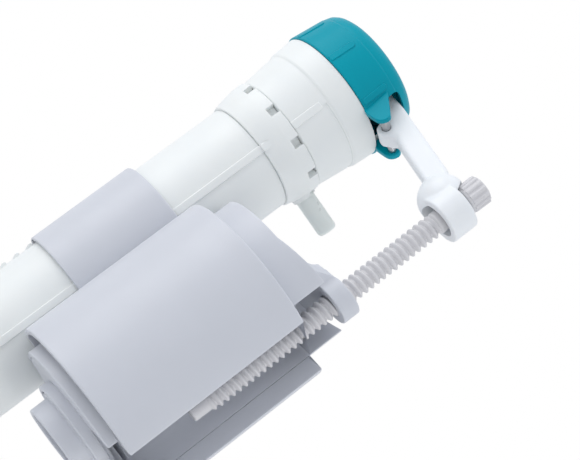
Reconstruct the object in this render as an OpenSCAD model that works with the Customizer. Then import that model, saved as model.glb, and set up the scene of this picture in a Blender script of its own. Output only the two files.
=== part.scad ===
// Float valve (cistern fill valve) with a side lever and a cup float that slides on the riser.
// Millimetres. The origin is the middle of the face that seats on the cistern's floor,
// +Z runs up the riser, and the lever arm points along +X.

/* [Riser] */
// Outside diameter of the riser tube
riser_d = 32; // [31.5:0.1:32.4]
// Wall thickness of the riser tube
riser_wall = 1.6; // [1.3:0.1:1.8]
// Height of the riser's open lower end at the setting shown
riser_foot_z = 11; // [10.5:0.5:12]
// Height at which the tube steps in to carry the coupling ring
riser_top_z = 165; // [164:0.5:165]
// How far the guide rail stands out of the tube
rail_proud = 0.5; // [0.3:0.1:0.5]
// How far the height-setting teeth stand out of the tube
tooth_proud = 0.7; // [0.5:0.1:0.7]
// Distance from one height-setting tooth to the next
tooth_pitch = 4.3; // [4:0.1:4.5]

/* [Valve head] */
// Height of the coupling ring
ring_h = 10.2; // [9.8:0.1:10.2]
// Number of square windows round the top of the coupling ring
ring_windows = 10; // [8:2:12]
// Height of the cap's lower edge
cap_z = 194.6; // [194.6:0.1:195]
// Height of the cap
cap_h = 15; // [15:0.1:15.5]
// Outside radius of the cap at its lower edge
cap_r = 20.1; // [20:0.1:20.3]
// Angle of the refill nipple from the lever, seen from above
nipple_angle = 46; // [44:1:50]
// Distance from the riser's axis to the nipple's end
nipple_reach = 30; // [28:0.5:30]

/* [Lever and rod] */
// Distance from the riser's axis to the lever's pivot
pivot_x = 22.8; // [22.8:0.1:23]
// Height of the lever's pivot
pivot_z = 196.8; // [196.8:0.1:197]
// Distance from the riser's axis to the adjusting rod's axis
rod_x = 56.3; // [56:0.1:56.5]
// Thread diameter of the adjusting rod
rod_d = 6.6; // [6.4:0.1:6.6]
// Thread pitch of the adjusting rod
rod_pitch = 2; // [2:0.5:2]
// Height of the rod's lower end
rod_foot_z = 103.8; // [103:0.1:105]

/* [Float] */
// Outside radius of the float's shell
shell_r = 27.7; // [27.4:0.1:28]
// Distance from the riser's axis to the middle of the shell
shell_x = 37.6; // [37.6:0.1:37.8]
// Height of the shell's lower rim
shell_foot_z = 84.4; // [84:0.1:85]
// Height of the shell's top
shell_top_z = 139; // [138.5:0.1:139]
// Half the width of the open channel that the rod runs in
channel_half_w = 10.9; // [10.5:0.1:11]
// Radius of the float's inner chamber
core_r = 22.5; // [22.2:0.1:22.6]

/* [Shank and base] */
// Major diameter of the shank's G 1/2 thread
shank_d = 20.955; // [20.955:0.005:20.96]
// Length of the shank below the seat
shank_l = 45; // [40:1:50]
// Clear height left between the two washers for the cistern's floor
floor_gap = 9; // [8:0.5:10]

/* [Hidden] */
$fn = 96;
fit = 0.08;         // running fit on a radius
gap = 0.35;         // free clearance on a radius
seam = 0.05;        // glue line between two pieces of the float
tiny = 0.01;

riser_r = riser_d / 2;
riser_bore = riser_r - riser_wall;
rail_angle = -50;
rail_w = 2.3;
tooth_angle = -140;
tooth_w = 5;
sleeve_bore = riser_r + gap;

// valve head
ring_z = riser_top_z;
head_z = ring_z + ring_h + 0.1;
neck_r = 14.7;
neck_bore = 13.2;
ring_low_r = 16.6;
ring_high_r = 18;
window_w = 2.8;
nipple_z = ring_z + 6.2;
nipple_r = 2.9;
nipple_root_r = 3.3;
nipple_root_reach = ring_high_r + 0.6;
nipple_bore = 1.8;
head_step_z = 187;
head_shoulder_z = cap_z - 0.1;
collar_r = 18.2;
cap_wall = 1.25;
rib_proud = 0.45;
rib_root_r = cap_r - 1.1;
ledge_z = 190;
chamber_r = 16.8;
port_r = 5.2;
seat_z = 188;
plate_top_z = 195.2;
nozzle_x = 11.5;
nozzle_top_z = 196.2;
valve_lift = 1.15;
lift_z = seat_z + 2.2 + valve_lift;
supply_r = 9;
supply_bore = 7.2;
supply_foot_z = 40;

// lever and rod
lever_swing = 17.3;
lever_w = 5.2;
pin_r = 1.3;
ear_in_y = 6.9;
ear_t = 1.7;
rod_r = rod_d / 2;
rod_root_r = rod_r - 0.85;
neck_pin_r = 2.2;
eye_z = 190.7;
eye_r = 6.8;
eye_half_h = 3.8;
bush_r = 4.3;
bush_half_h = 1.7;
thread_top_z = eye_z - bush_half_h - 0.05;
knob_foot_z = eye_z + 5.1;
knob_top_z = 202;
knob_r = 4.4;
knob_flutes = 14;

// float
shell_wall = 1.6;
sleeve_r = 17.7;
sleeve_foot_z = 102.4;
sleeve_top_z = 135.2;
core_foot_z = 81.4;
core_top_z = 147.2;
core_wall = 1.4;
channel_back_x = 43.2;
lug_r = 5.9;
lug_foot_z = 149.7;
lug_top_z = 154.9;
boss_z = [78.4, 73];
boss_r = [13.8, 10.4];

// shank and base
shank_r = shank_d / 2;
shank_bore = 7;
relief_z = -24;       // thread relief between the locknut's end and the supply end
flange_r = 20;
seat_washer_h = 4;
flange_top_z = 7;
socket_r = 19.6;
socket_top_z = 40;
lock_foot_z = 33;
lock_top_z = 46;
lock_r = socket_r + 2.9;
lock_lip_r = riser_r + tooth_proud + gap;
standpipe_r = 6.8;
standpipe_bore = 5;
standpipe_top_z = 96;
o_ring_z = [86, 91];
o_ring_t = 1.9;
slip_t = 1.6;
nut_h = 10;
nut_r = 17;

// ---- shared shapes ----

// A plain tube from height z0 to height z1.
module tube(r_out, r_in, z0, z1) {
    translate([0, 0, z0])
        linear_extrude(z1 - z0)
            difference() {
                circle(r_out);
                circle(r_in);
            }
}

// A round solid from height z0 to height z1.
module disc(r, z0, z1, r_top = undef) {
    translate([0, 0, z0])
        cylinder(r1 = r, r2 = is_undef(r_top) ? r : r_top, h = z1 - z0);
}

// A block between two corners.
module block(low, high) {
    translate(low)
        cube(high - low);
}

// Copies of a shape at count equal steps round the riser's axis.
module around(count, first = 0) {
    for (i = [0 : count - 1])
        rotate(first + i * 360 / count)
            children();
}

// A round-ended slot along X, from x0 to x1, between heights z0 and z1.
module slot_x(r, x0, x1, z0, z1) {
    translate([0, 0, z0])
        linear_extrude(z1 - z0) {
            translate([x0, 0])
                circle(r);
            translate([x1, 0])
                circle(r);
            translate([x0, -r])
                square([x1 - x0, 2 * r]);
        }
}

// An outline in the X-Z plane, spread evenly to both sides of Y = 0.
module side_plate(points, w) {
    translate([0, w / 2, 0])
        rotate([90, 0, 0])
            linear_extrude(w)
                polygon(points);
}

// A round bar along Y through (x, z).
module cross_bar(r, x, z, y0, y1) {
    translate([x, y1, z])
        rotate([90, 0, 0])
            cylinder(r = r, h = y1 - y0);
}

// Grooves that let the riser's rail and teeth pass through the float's sleeve.
module rail_grooves(z0, z1) {
    for (g = [[rail_angle, rail_w, rail_proud], [tooth_angle, tooth_w, tooth_proud]])
        rotate(g[0])
            block([0, -g[1] / 2 - gap, z0], [riser_r + g[2] + gap, g[1] / 2 + gap, z1]);
}

// ---- base, held by the cistern's floor ----

module threaded_shank() {
    color("whitesmoke")
        difference() {
            union() {
                disc(shank_r - 0.9, -shank_l, -shank_l + 1, shank_r);
                disc(shank_r, -shank_l + 1, relief_z);
                disc(shank_r - 1.2, relief_z - tiny, relief_z + 1.2);
                disc(shank_r, relief_z + 1.2 - tiny, seat_washer_h);
                disc(flange_r, seat_washer_h, flange_top_z);
                difference() {
                    disc(standpipe_r, flange_top_z - tiny, standpipe_top_z);
                    for (z = o_ring_z)
                        tube(standpipe_r + 1, standpipe_r - 1.2, z, z + o_ring_t + 0.2);
                }
            }
            disc(shank_bore, -shank_l - 1, 0);
            disc(standpipe_bore, -1, standpipe_top_z + 1);
        }
}

module tank_washer() {
    color("dimgray")
        rotate_extrude()
            polygon([[shank_r, 0], [17.5, 0], [flange_r - 0.5, 1.2], [flange_r - 0.5, seat_washer_h],
                     [shank_r, seat_washer_h]]);
}

module base_socket() {
    color("whitesmoke")
        difference() {
            rotate_extrude()
                polygon([[lock_lip_r, flange_top_z], [socket_r, flange_top_z], [socket_r, socket_top_z],
                         [lock_lip_r, socket_top_z]]);
            around(4, 15)
                block([12, -3.5, flange_top_z + 1.5], [socket_r + 2, 3.5, flange_top_z + 10]);
            around(4, 20)
                block([12, -0.8, 25], [socket_r + 2, 0.8, socket_top_z + 1]);
        }
}

module inlet_filter() {
    color("gainsboro") {
        difference() {
            rotate_extrude()
                polygon([[3.7, -shank_l + 1.5], [6.95, -shank_l + 1.5], [6.95, -shank_l + 3.5],
                         [4.6, -shank_l + 3.5], [3.4, -14], [0, -14], [0, -15.2], [2.5, -15.2]]);
            for (z = [-shank_l + 7 : 5 : -18])
                around(6, 15)
                    block([1, -1, z], [8, 1, z + 3.4]);
        }
    }
}

module flow_restrictor() {
    color("orange")
        difference() {
            disc(6.9, -6, -3);
            disc(1.6, -7, -2);
            around(6)
                translate([4.2, 0, 0])
                    disc(0.8, -7, -2);
        }
}

module standpipe_o_rings() {
    color("black")
        for (z = o_ring_z)
            tube(supply_bore - fit, standpipe_r - 1.15, z + 0.1, z + 0.1 + o_ring_t);
}

module slip_washer() {
    color("gainsboro")
        tube(flange_r - 1, shank_r + gap, -floor_gap - slip_t, -floor_gap);
}

module locknut() {
    top = -floor_gap - slip_t - 0.05;
    color("whitesmoke")
        difference() {
            union() {
                disc(nut_r - 2.5, top - nut_h, top - 2);
                disc(nut_r + 1, top - 2, top);
                around(6)
                    block([nut_r - 4, -1.6, top - nut_h], [nut_r + 2.2, 1.6, top - 1]);
            }
            disc(shank_r + fit, top - nut_h - 1, top + 1);
        }
}

module height_lock_collar() {
    color("whitesmoke")
        union() {
            rotate_extrude()
                polygon([[socket_r + gap, lock_foot_z], [lock_r, lock_foot_z], [lock_r, lock_top_z - 3],
                         [lock_r - 2, lock_top_z], [lock_lip_r, lock_top_z], [lock_lip_r, socket_top_z + 0.5],
                         [socket_r + gap, socket_top_z + 0.5]]);
            around(3, 30)
                block([lock_r - 1.5, -5, lock_foot_z], [lock_r + 3, 5, lock_top_z - 4]);
        }
}

// ---- riser and valve head ----

module riser_tube() {
    color("white")
        difference() {
            union() {
                disc(riser_r, riser_foot_z, riser_top_z);
                disc(neck_r, riser_top_z - tiny, head_z);
                rotate(rail_angle)
                    block([riser_r - 1, -rail_w / 2, riser_foot_z],
                          [riser_r + rail_proud, rail_w / 2, riser_top_z]);
                riser_teeth();
            }
            disc(riser_bore, riser_foot_z - 1, riser_top_z - 1);
            disc(neck_bore, riser_top_z - 2, head_z + 1);
            around(4, 45)
                block([10, -3, riser_foot_z - 1], [riser_r + 2, 3, riser_foot_z + 5]);
            nipple_hole(nipple_root_r + 0.02);
        }
}

// Teeth up the back of the riser: flat on top, sloping underneath.
module riser_teeth() {
    count = floor((sleeve_foot_z + 14 - riser_foot_z) / tooth_pitch);
    rotate(tooth_angle)
        for (i = [0 : count])
            translate([0, tooth_w / 2, riser_foot_z + 2 + i * tooth_pitch])
                rotate([90, 0, 0])
                    linear_extrude(tooth_w)
                        polygon([[riser_r - 0.8, 0], [riser_r - 0.2, 0], [riser_r + tooth_proud, 1.3],
                                 [riser_r + tooth_proud, 2.4], [riser_r - 0.8, 2.6]]);
}

// The bore that the refill nipple is pressed into.
module nipple_hole(r) {
    rotate(nipple_angle)
        translate([10, 0, nipple_z])
            rotate([0, 90, 0])
                cylinder(r = r, h = 15);
}

module supply_tube() {
    color("white")
        tube(supply_r, supply_bore, supply_foot_z, head_z);
}

module coupling_ring() {
    color("white")
        difference() {
            union() {
                rotate_extrude()
                    polygon([[neck_r + 0.03, ring_z], [ring_low_r, ring_z], [ring_low_r + 0.9, ring_z + 4],
                             [ring_high_r, ring_z + ring_h], [neck_r + 0.03, ring_z + ring_h]]);
                rotate(rail_angle)
                    block([neck_r + 0.5, -rail_w / 2, ring_z],
                          [ring_low_r + rail_proud, rail_w / 2, ring_z + ring_h - 3.5]);
            }
            around(ring_windows)
                block([neck_r + 1, -window_w / 2, ring_z + ring_h - window_w],
                      [ring_high_r + 4, window_w / 2, ring_z + ring_h + 1]);
            nipple_hole(nipple_root_r + 0.02);
        }
}

module refill_nipple() {
    color("honeydew")
        rotate(nipple_angle)
            translate([0, 0, nipple_z])
                rotate([0, 90, 0])
                    rotate_extrude()
                        polygon([[nipple_bore, neck_bore - 1], [nipple_root_r, neck_bore - 1],
                                 [nipple_root_r, nipple_root_reach], [nipple_r, nipple_root_reach],
                                 [nipple_r, nipple_reach - 1.4], [nipple_r - 0.8, nipple_reach],
                                 [nipple_bore, nipple_reach]]);
}

module valve_head() {
    color("white")
        difference() {
            rotate_extrude()
                polygon([[port_r, head_z], [17.5, head_z], [18.75, head_step_z - 0.6], [18.75, head_step_z],
                         [19.25, head_step_z + 0.4], [19.7, head_shoulder_z], [collar_r, head_shoulder_z],
                         [collar_r, head_shoulder_z + 4.4], [collar_r - 1.2, head_shoulder_z + 4.4],
                         [chamber_r, plate_top_z], [chamber_r, ledge_z], [15, ledge_z], [15, head_z + 2.2],
                         [8, head_z + 2.2], [8, seat_z], [port_r, seat_z]]);
            around(6, 30)
                translate([11.4, 0, 0])
                    disc(1.8, head_z - 1, head_z + 3);
            block([chamber_r - 1, -8.8, head_shoulder_z], [25, 8.8, 205]);
        }
    color("white")
        rotate(rail_angle)
            block([17.2, -rail_w / 2, head_z], [17.9, rail_w / 2, head_z + 6]);
}

module valve_seat() {
    color("white")
        rotate_extrude()
            polygon([[4.2, seat_z], [8, seat_z], [8, seat_z + 1], [5.2, seat_z + 1.2], [4.9, seat_z + 2.2],
                     [4.5, seat_z + 2.2], [4.2, seat_z + 1.6]]);
}

module diaphragm() {
    color("dimgray")
        rotate_extrude()
            polygon([[2.6, lift_z], [7.8, lift_z], [9.4, lift_z], [14.6, ledge_z + 0.5], [14.6, ledge_z],
                     [16.7, ledge_z], [16.7, ledge_z + 2.2], [14.8, ledge_z + 2.2], [14.4, ledge_z + 1.4],
                     [9.4, lift_z + 0.9], [7.8, lift_z + 1.2], [2.6, lift_z + 1.2]]);
}

module diaphragm_plate() {
    color("white")
        rotate_extrude()
            polygon([[0.9 + fit, lift_z - 0.6], [2.5, lift_z - 0.6], [2.5, lift_z + 1.25], [6.8, lift_z + 1.25],
                     [6.8, lift_z + 1.75], [0.9 + fit, lift_z + 1.75]]);
}

module metering_pin() {
    color("silver")
        disc(0.9, seat_z - 2, plate_top_z - 1.2);
}

module pressure_plate() {
    color("white")
        difference() {
            union() {
                disc(chamber_r - 0.1, ledge_z + 2.25, plate_top_z);
                translate([nozzle_x, 0, 0])
                    disc(2.2, plate_top_z - tiny, nozzle_top_z, 1.5);
            }
            disc(13.2, ledge_z + 2, plate_top_z - 1.2);
            translate([nozzle_x, 0, 0])
                disc(0.6, plate_top_z - 2, nozzle_top_z + 1);
        }
}

module head_o_ring() {
    color("black")
        difference() {
            tube(chamber_r - 0.15, chamber_r - 1.9, plate_top_z + 0.02, plate_top_z + 1);
            block([12, -9.5, plate_top_z - 1], [25, 9.5, plate_top_z + 3]);
        }
}

// Half-section of the cap's skin: a slight taper, a full round at the top edge and a flat top.
function cap_section(r, z0, z1, taper, round_r) =
    concat([[0, z0], [r, z0]],
           [for (a = [0 : 15 : 90]) [r - taper - round_r * (1 - cos(a)), z1 - round_r * (1 - sin(a))]],
           [[0, z1]]);

module cap() {
    top = cap_z + cap_h;
    slot_top = top - 3.6;
    color([0, 0.68, 0.76])
        difference() {
            union() {
                difference() {
                    rotate_extrude()
                        polygon(cap_section(cap_r, cap_z, top, 1.2, 4));
                    rotate_extrude()
                        polygon(cap_section(cap_r - cap_wall, cap_z - 1, top - 1.5, 1, 2.8));
                    block([5, -ear_in_y, cap_z - 1], [30, ear_in_y, slot_top]);
                }
                cap_ribs();
                cap_ears();
                around(3, 90)
                    block([11, -0.8, plate_top_z + 0.05], [14.6, 0.8, top - 1]);
                around(4, 60)
                    intersection() {
                        tube(cap_r - 1.2, 17.3, cap_z + 4.5, cap_z + 5.7);
                        block([10, -3, cap_z + 4], [25, 3, cap_z + 6]);
                    }
            }
            cross_bar(pin_r, pivot_x, pivot_z, -12, 12);
        }
}

// Slim grip ribs up the side of the cap.
module cap_ribs() {
    for (side = [-1, 1], a = [31 : 44.5 : 170])
        rotate(side * a)
            intersection() {
                union() {
                    block([rib_root_r, -1, cap_z], [cap_r + rib_proud, 1, cap_z + 8]);
                    translate([rib_root_r, 0, cap_z + 8])
                        rotate([0, 90, 0])
                            cylinder(r = 1, h = cap_r + rib_proud - rib_root_r);
                }
                disc(cap_r + rib_proud, cap_z, cap_z + 12, cap_r - 0.5);
            }
}

// The two ears that carry the lever's pin. Each stands out past the slot's edge.
module cap_ears() {
    for (side = [-1, 1])
        translate([0, side * (ear_in_y + ear_t / 2), 0])
            difference() {
                union() {
                    side_plate([[16.5, cap_z], [19, cap_z - 0.6], [pivot_x, pivot_z - 2.6],
                                [pivot_x + 2.3, pivot_z + 1.2], [18, cap_z + 9], [16.5, cap_z + 9]], ear_t);
                    cross_bar(2.6, pivot_x, pivot_z, -ear_t / 2, ear_t / 2);
                }
                translate([0, -side * (ear_in_y + ear_t / 2), 0])
                    disc(19.95, cap_z - 5, cap_z);
            }
}

module pivot_pin() {
    color("silver")
        cross_bar(pin_r - 0.02, pivot_x, pivot_z, -ear_in_y - ear_t - 0.3, ear_in_y + ear_t + 0.3);
}

// ---- lever, rod and float ----

module lever_arm() {
    color("white")
        difference() {
            union() {
                side_plate([[8.6, 201.7], [14.5, 199.9], [20.3, 198.4], [pivot_x - 2.2, pivot_z - 1.2],
                            [pivot_x, pivot_z - 2.7], [26.6, 194.9], [27.2, 196.2], [49.8, 190.9],
                            [52, eye_z], [49, 198.2], [43, 199.9], [20, 205.1], [14, 205.9], [8.6, 206.1]],
                           lever_w);
                cross_bar(2.7, pivot_x, pivot_z, -lever_w / 2, lever_w / 2);
                translate([rod_x, 0, 0]) {
                    disc(eye_r, eye_z - eye_half_h, eye_z + eye_half_h);
                    translate([-4.9, 0, eye_z + 1.7])
                        sphere(eye_r);
                }
            }
            cross_bar(pin_r + fit, pivot_x, pivot_z, -5, 5);
            translate([rod_x, 0, 0]) {
                slot_x(4.6, -0.85, 0.3, eye_z - eye_half_h - 4, eye_z + 3);
                slot_x(2.6, -0.1, 0.8, eye_z, eye_z + 12);
                slot_x(5, 0, 0.6, eye_z + eye_half_h, eye_z + 12);
            }
            translate([pivot_x, 0, pivot_z])
                rotate([0, lever_swing, 0])
                    translate([nozzle_x - pivot_x, 0, nozzle_top_z + 0.05 - pivot_z])
                        disc(2.62, -3, 2.2);
        }
}

// The rubber pad that shuts the pilot nozzle. It is level when the lever is fully up.
module pilot_seal() {
    color("black")
        translate([pivot_x, 0, pivot_z])
            rotate([0, lever_swing, 0])
                translate([nozzle_x - pivot_x, 0, nozzle_top_z + 0.05 - pivot_z])
                    disc(2.6, 0, 2.2);
}

module rod_bush() {
    color("gainsboro")
        translate([rod_x, 0, eye_z])
            difference() {
                intersection() {
                    sphere(bush_r);
                    disc(bush_r, -bush_half_h, bush_half_h);
                }
                disc(neck_pin_r + fit, -bush_half_h - 1, bush_half_h + 1);
            }
}

// Thread rings of the rod: one ridge for each turn, with flat crests and roots.
function thread_rings(count) =
    [for (i = [0 : count - 1], p = [[0, rod_root_r], [0.5, rod_r], [0.95, rod_r], [1.45, rod_root_r]])
        [p[1], i * rod_pitch + p[0]]];

module adjusting_rod() {
    thread_foot_z = rod_foot_z + 2.4;
    turns = floor((thread_top_z - thread_foot_z) / rod_pitch);
    color("lightgray")
        translate([rod_x, 0, 0]) {
            rotate_extrude()
                polygon(concat([[0, rod_foot_z], [rod_root_r - 0.5, rod_foot_z], [rod_root_r, rod_foot_z + 0.5]],
                               [for (p = thread_rings(turns)) [p[0], thread_foot_z + p[1]]],
                               [[rod_r, thread_top_z - 0.6], [rod_r, thread_top_z], [neck_pin_r, thread_top_z],
                                [neck_pin_r, knob_foot_z], [3, knob_foot_z], [knob_r - 0.4, knob_foot_z + 0.6],
                                [knob_r - 0.4, knob_top_z], [0, knob_top_z]]));
            for (i = [0 : knob_flutes - 1])
                rotate(i * 360 / knob_flutes)
                    block([0, -0.45, knob_foot_z + 0.6], [knob_r, 0.45, knob_top_z - 0.3]);
        }
}

// A solid with the float's plan: a circle, open towards +X for the rod and cut back round the
// riser. The two insets move the channel's faces and the face round the riser into the float.
module float_body(r, channel_in, riser_in, z0, z1) {
    translate([0, 0, z0])
        linear_extrude(z1 - z0)
            difference() {
                translate([shell_x, 0])
                    circle(r);
                translate([channel_back_x + channel_half_w, 0])
                    circle(channel_half_w + channel_in);
                translate([channel_back_x + channel_half_w, -channel_half_w - channel_in])
                    square([40, 2 * (channel_half_w + channel_in)]);
                circle(sleeve_bore + riser_in);
            }
}

module float_shell() {
    color("gainsboro")
        difference() {
            union() {
                float_body(shell_r, 0, 0, shell_foot_z, shell_top_z);
                disc(sleeve_r, sleeve_foot_z, sleeve_top_z);
            }
            disc(sleeve_bore, shell_foot_z - 1, shell_top_z + 1);
            rail_grooves(shell_foot_z - 1, shell_top_z + 1);
            float_body(shell_r - shell_wall, shell_wall, shell_wall, shell_foot_z - 1, shell_top_z - shell_wall);
            float_body(core_r + seam, -1, shell_wall, shell_foot_z - 1, shell_top_z + 1);
        }
}

module float_core() {
    color("gainsboro")
        difference() {
            union() {
                float_body(core_r, 0, shell_wall + seam, core_foot_z, core_top_z);
                float_lug();
            }
            float_body(core_r - core_wall, core_wall, shell_wall + core_wall,
                       core_foot_z - 1, core_top_z - core_wall);
            translate([rod_x, 0, 0])
                disc(rod_r + gap, 100, lug_top_z + 1);
        }
}

// The threaded lug over the channel and the sloping bridge that carries it.
module float_lug() {
    translate([rod_x, 0, 0])
        disc(lug_r, lug_foot_z, lug_top_z);
    side_plate([[39, core_top_z - 1], [46, core_top_z - 1], [50, lug_foot_z], [rod_x, lug_foot_z],
                [rod_x, lug_top_z], [47.5, lug_top_z - 0.8], [40.5, core_top_z]], 2 * lug_r);
}

module float_bottom_cap() {
    color("gainsboro")
        difference() {
            union() {
                float_body(core_r - core_wall - seam, core_wall + seam, shell_wall + core_wall + seam,
                           core_foot_z, core_foot_z + 2);
                for (i = [0, 1])
                    float_body(boss_r[i], core_wall + seam, shell_wall, boss_z[i], core_foot_z + tiny);
            }
            translate([shell_x, 0, 0])
                disc(boss_r[1] - 1.4, boss_z[1] - 1, core_foot_z);
            translate([shell_x, 0, 0])
                tube(boss_r[0] - 1.4, boss_r[1] + tiny, boss_z[1] - 1, core_foot_z);
        }
}

threaded_shank();
tank_washer();
base_socket();
inlet_filter();
flow_restrictor();
standpipe_o_rings();
slip_washer();
locknut();
height_lock_collar();
riser_tube();
supply_tube();
coupling_ring();
refill_nipple();
valve_head();
valve_seat();
diaphragm();
diaphragm_plate();
metering_pin();
pressure_plate();
head_o_ring();
cap();
pivot_pin();
lever_arm();
pilot_seal();
rod_bush();
adjusting_rod();
float_shell();
float_core();
float_bottom_cap();
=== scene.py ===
import math

import bmesh
import bpy
from mathutils import Matrix, Quaternion, Vector


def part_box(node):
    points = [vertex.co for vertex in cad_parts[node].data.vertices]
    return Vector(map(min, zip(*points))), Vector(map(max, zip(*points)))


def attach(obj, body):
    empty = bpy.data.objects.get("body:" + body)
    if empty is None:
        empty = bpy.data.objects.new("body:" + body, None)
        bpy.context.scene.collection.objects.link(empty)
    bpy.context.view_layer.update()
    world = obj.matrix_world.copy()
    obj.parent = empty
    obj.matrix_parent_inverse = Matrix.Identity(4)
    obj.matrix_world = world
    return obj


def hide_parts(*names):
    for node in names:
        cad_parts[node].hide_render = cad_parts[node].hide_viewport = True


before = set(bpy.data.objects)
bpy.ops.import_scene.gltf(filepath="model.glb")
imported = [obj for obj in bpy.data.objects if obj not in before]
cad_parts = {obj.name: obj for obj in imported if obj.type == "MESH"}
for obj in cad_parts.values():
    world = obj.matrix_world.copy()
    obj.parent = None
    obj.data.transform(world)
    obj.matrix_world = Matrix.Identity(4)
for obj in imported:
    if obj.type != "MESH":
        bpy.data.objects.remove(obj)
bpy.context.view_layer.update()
MM = 0.001  # meshes are made in millimetres and scaled to metres when each piece is finished


# ---- Threaded shank ----
# The valve's foot: a hollow G 1/2 screw with a wide flange, and the slim standpipe that
# carries water up inside the riser. One injection moulding in natural acetal.

SHANK_R = 10.4775
SHANK_ROOT_R = 9.32
SHANK_PITCH = 1.814
ROUND_STEPS = 4


def box_of(node):
    """A CAD node's lowest and highest corners, in millimetres."""
    low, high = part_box(node)
    return low / MM, high / MM


def outline(bm, points, closed=True):
    """Edges through (x, z) points. A third number in a point rounds that corner."""
    verts = [bm.verts.new((p[0], 0, p[1])) for p in points]
    ends = verts[1:] + verts[:1] if closed else verts[1:]
    for a, b in zip(verts, ends):
        bm.edges.new((a, b))
    for vert, point in zip(verts, points):
        if len(point) > 2:
            bmesh.ops.bevel(bm, geom=[vert], offset=point[2], offset_type="OFFSET",
                            segments=ROUND_STEPS, profile=0.5, affect="VERTICES", material=-1)


def tidy_mesh(bm, merge=1e-4):
    """Merges doubles and points every face outwards."""
    bmesh.ops.remove_doubles(bm, verts=bm.verts, dist=merge)
    bmesh.ops.recalc_face_normals(bm, faces=bm.faces)
    return bm


def lathe(points, steps=120):
    """A solid of revolution round +Z. An outline that starts and ends on the axis stays open there."""
    bm = bmesh.new()
    outline(bm, points, closed=points[0][0] > 0)
    bmesh.ops.spin(bm, geom=bm.verts[:] + bm.edges[:], cent=(0, 0, 0), axis=(0, 0, 1),
                   dvec=(0, 0, 0), angle=math.tau, steps=steps, use_merge=True)
    return tidy_mesh(bm)


def prism(points, depth):
    """The (x, z) outline made solid, from y = 0 to y = depth."""
    bm = bmesh.new()
    outline(bm, points)
    bmesh.ops.edgeloop_fill(bm, edges=bm.edges[:])
    new = bmesh.ops.extrude_face_region(bm, geom=bm.faces[:], use_keep_orig=True)
    moved = [v for v in new["geom"] if isinstance(v, bmesh.types.BMVert)]
    bmesh.ops.translate(bm, verts=moved, vec=(0, depth, 0))
    return tidy_mesh(bm)


def block(low, high):
    """A box between two corners."""
    bm = bmesh.new()
    bmesh.ops.create_cube(bm, size=1)
    size = Vector(high) - Vector(low)
    bmesh.ops.scale(bm, vec=size, verts=bm.verts)
    bmesh.ops.translate(bm, vec=(Vector(high) + Vector(low)) / 2, verts=bm.verts)
    return bm


def rod_between(start, end, radius, end_radius=None, steps=48):
    """A round bar or cone from one point to another."""
    bm = bmesh.new()
    along = Vector(end) - Vector(start)
    turn = along.to_track_quat("Z", "Y").to_matrix().to_4x4()
    place = Matrix.Translation((Vector(start) + Vector(end)) / 2) @ turn
    bmesh.ops.create_cone(bm, cap_ends=True, segments=steps, radius1=radius,
                          radius2=radius if end_radius is None else end_radius,
                          depth=along.length, matrix=place)
    return bm


def turned(bm, degrees, axis="Z"):
    """The mesh turned round an axis through the origin."""
    bmesh.ops.rotate(bm, cent=(0, 0, 0), matrix=Matrix.Rotation(math.radians(degrees), 3, axis),
                     verts=bm.verts)
    return bm


def shifted(bm, x, y, z):
    """The mesh moved."""
    bmesh.ops.translate(bm, vec=(x, y, z), verts=bm.verts)
    return bm


def gathered(parts):
    """Several meshes in one. The parts are used up."""
    whole = bmesh.new()
    for part in parts:
        mesh = bpy.data.meshes.new("part")
        part.to_mesh(mesh)
        part.free()
        whole.from_mesh(mesh)
        bpy.data.meshes.remove(mesh)
    return whole


def as_object(bm, name):
    """A plain object that holds the mesh. The bmesh is used up."""
    mesh = bpy.data.meshes.new(name)
    bm.to_mesh(mesh)
    bm.free()
    obj = bpy.data.objects.new(name, mesh)
    bpy.context.scene.collection.objects.link(obj)
    return obj


def with_modifiers(obj):
    """The object's mesh with its modifiers worked in, as a bmesh. The object is used up."""
    shape = obj.evaluated_get(bpy.context.evaluated_depsgraph_get())
    bm = bmesh.new()
    bm.from_mesh(shape.to_mesh())
    shape.to_mesh_clear()
    bpy.data.objects.remove(obj)
    return bm


def combined(base, operation, parts, solver="EXACT"):
    """The base joined with ("UNION") or cut by ("DIFFERENCE") the parts, which are used up."""
    target = as_object(base, "base")
    tool = as_object(gathered(parts), "tool")
    boolean = target.modifiers.new("boolean", "BOOLEAN")
    boolean.operation = operation
    boolean.solver = solver
    if solver == "EXACT":
        boolean.use_self = len(parts) > 1
    boolean.object = tool
    made = with_modifiers(target)
    bpy.data.objects.remove(tool)
    return tidy_mesh(made, 0.01 if solver == "EXACT" else 1e-5)


def softened(bm, width, from_angle=35, segments=3):
    """Every edge sharper than an angle, rounded over as a mould leaves it."""
    bmesh.ops.remove_doubles(bm, verts=bm.verts, dist=0.05)
    bmesh.ops.recalc_face_normals(bm, faces=bm.faces)
    limit = math.radians(from_angle)
    sharp = [e for e in bm.edges if len(e.link_faces) == 2 and e.calc_face_angle(0) > limit]
    bmesh.ops.bevel(bm, geom=sharp, offset=width, offset_type="OFFSET", segments=segments,
                    profile=0.5, affect="EDGES", clamp_overlap=False, material=-1)
    return tidy_mesh(bm, 0.002)


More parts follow.
